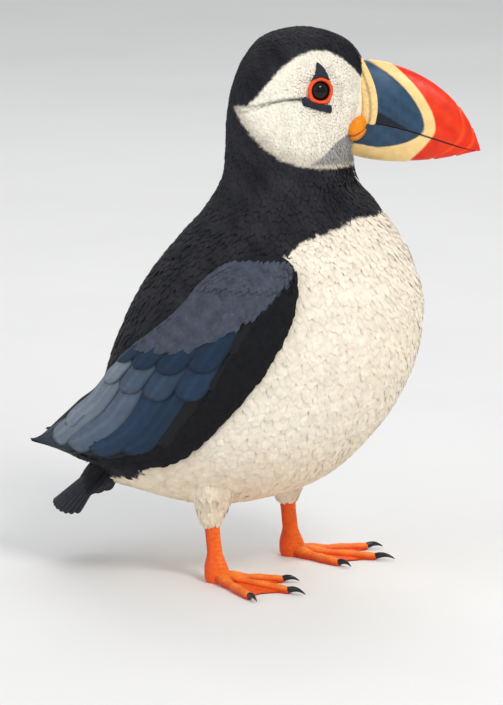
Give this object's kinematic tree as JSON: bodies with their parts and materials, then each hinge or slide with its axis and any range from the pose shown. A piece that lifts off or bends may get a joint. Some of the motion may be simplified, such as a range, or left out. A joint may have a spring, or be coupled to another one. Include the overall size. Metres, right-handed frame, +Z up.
{
  "type": "atlantic puffin",
  "caption": "Life-size still model of an Atlantic puffin standing upright on webbed feet, wings folded, head level and in profile.",
  "frame": {"origin": "bottom centre of the bounding box, on the plane of the soles", "axes": "+Z up, +X ahead of the bird, +Y to its left"},
  "size_m": [0.1834, 0.1116, 0.224],
  "materials": {
    "black_plumage": "close, softly glossy blue-black feathers",
    "body_plumage": "dense matt feathers, white breast and belly under a black collar and back",
    "head_plumage": "very short velvety feathers, pale cheeks and black crown",
    "wing_plumage": "smooth flight feathers, slate-blue to black",
    "bill_horn": "satin horn, red tip, slate base and cream bands",
    "bill_ridge": "cream-yellow granular horny ridge",
    "gape_skin": "wrinkled orange-yellow fleshy rosette",
    "eye": "wet dark eye",
    "eye_ring": "bare orange-red skin",
    "eye_plate": "slate horny plates",
    "leg_skin": "scaled orange skin, webs redder between the toes",
    "claw": "polished black horn"
  },
  "bodies": {
    "root": {"head": "head_plumage", "neck": "black_plumage", "trunk": "body_plumage", "tail": "black_plumage", "bill_upper": "bill_horn", "bill_lower": "bill_horn", "bill_ridge": "bill_ridge", "wing_left": "wing_plumage", "gape_left": "gape_skin", "eye_left": "eye", "eye_ring_left": "eye_ring", "eye_horn_left": "eye_plate", "eye_bar_left": "eye_plate", "thigh_left": "body_plumage", "shank_left": "leg_skin", "foot_left": "leg_skin", "claw_outer_left": "claw", "claw_middle_left": "claw", "claw_inner_left": "claw", "wing_right": "wing_plumage", "gape_right": "gape_skin", "eye_right": "eye", "eye_ring_right": "eye_ring", "eye_horn_right": "eye_plate", "eye_bar_right": "eye_plate", "thigh_right": "body_plumage", "shank_right": "leg_skin", "foot_right": "leg_skin", "claw_outer_right": "claw", "claw_middle_right": "claw", "claw_inner_right": "claw"}
  },
  "joints": []
}
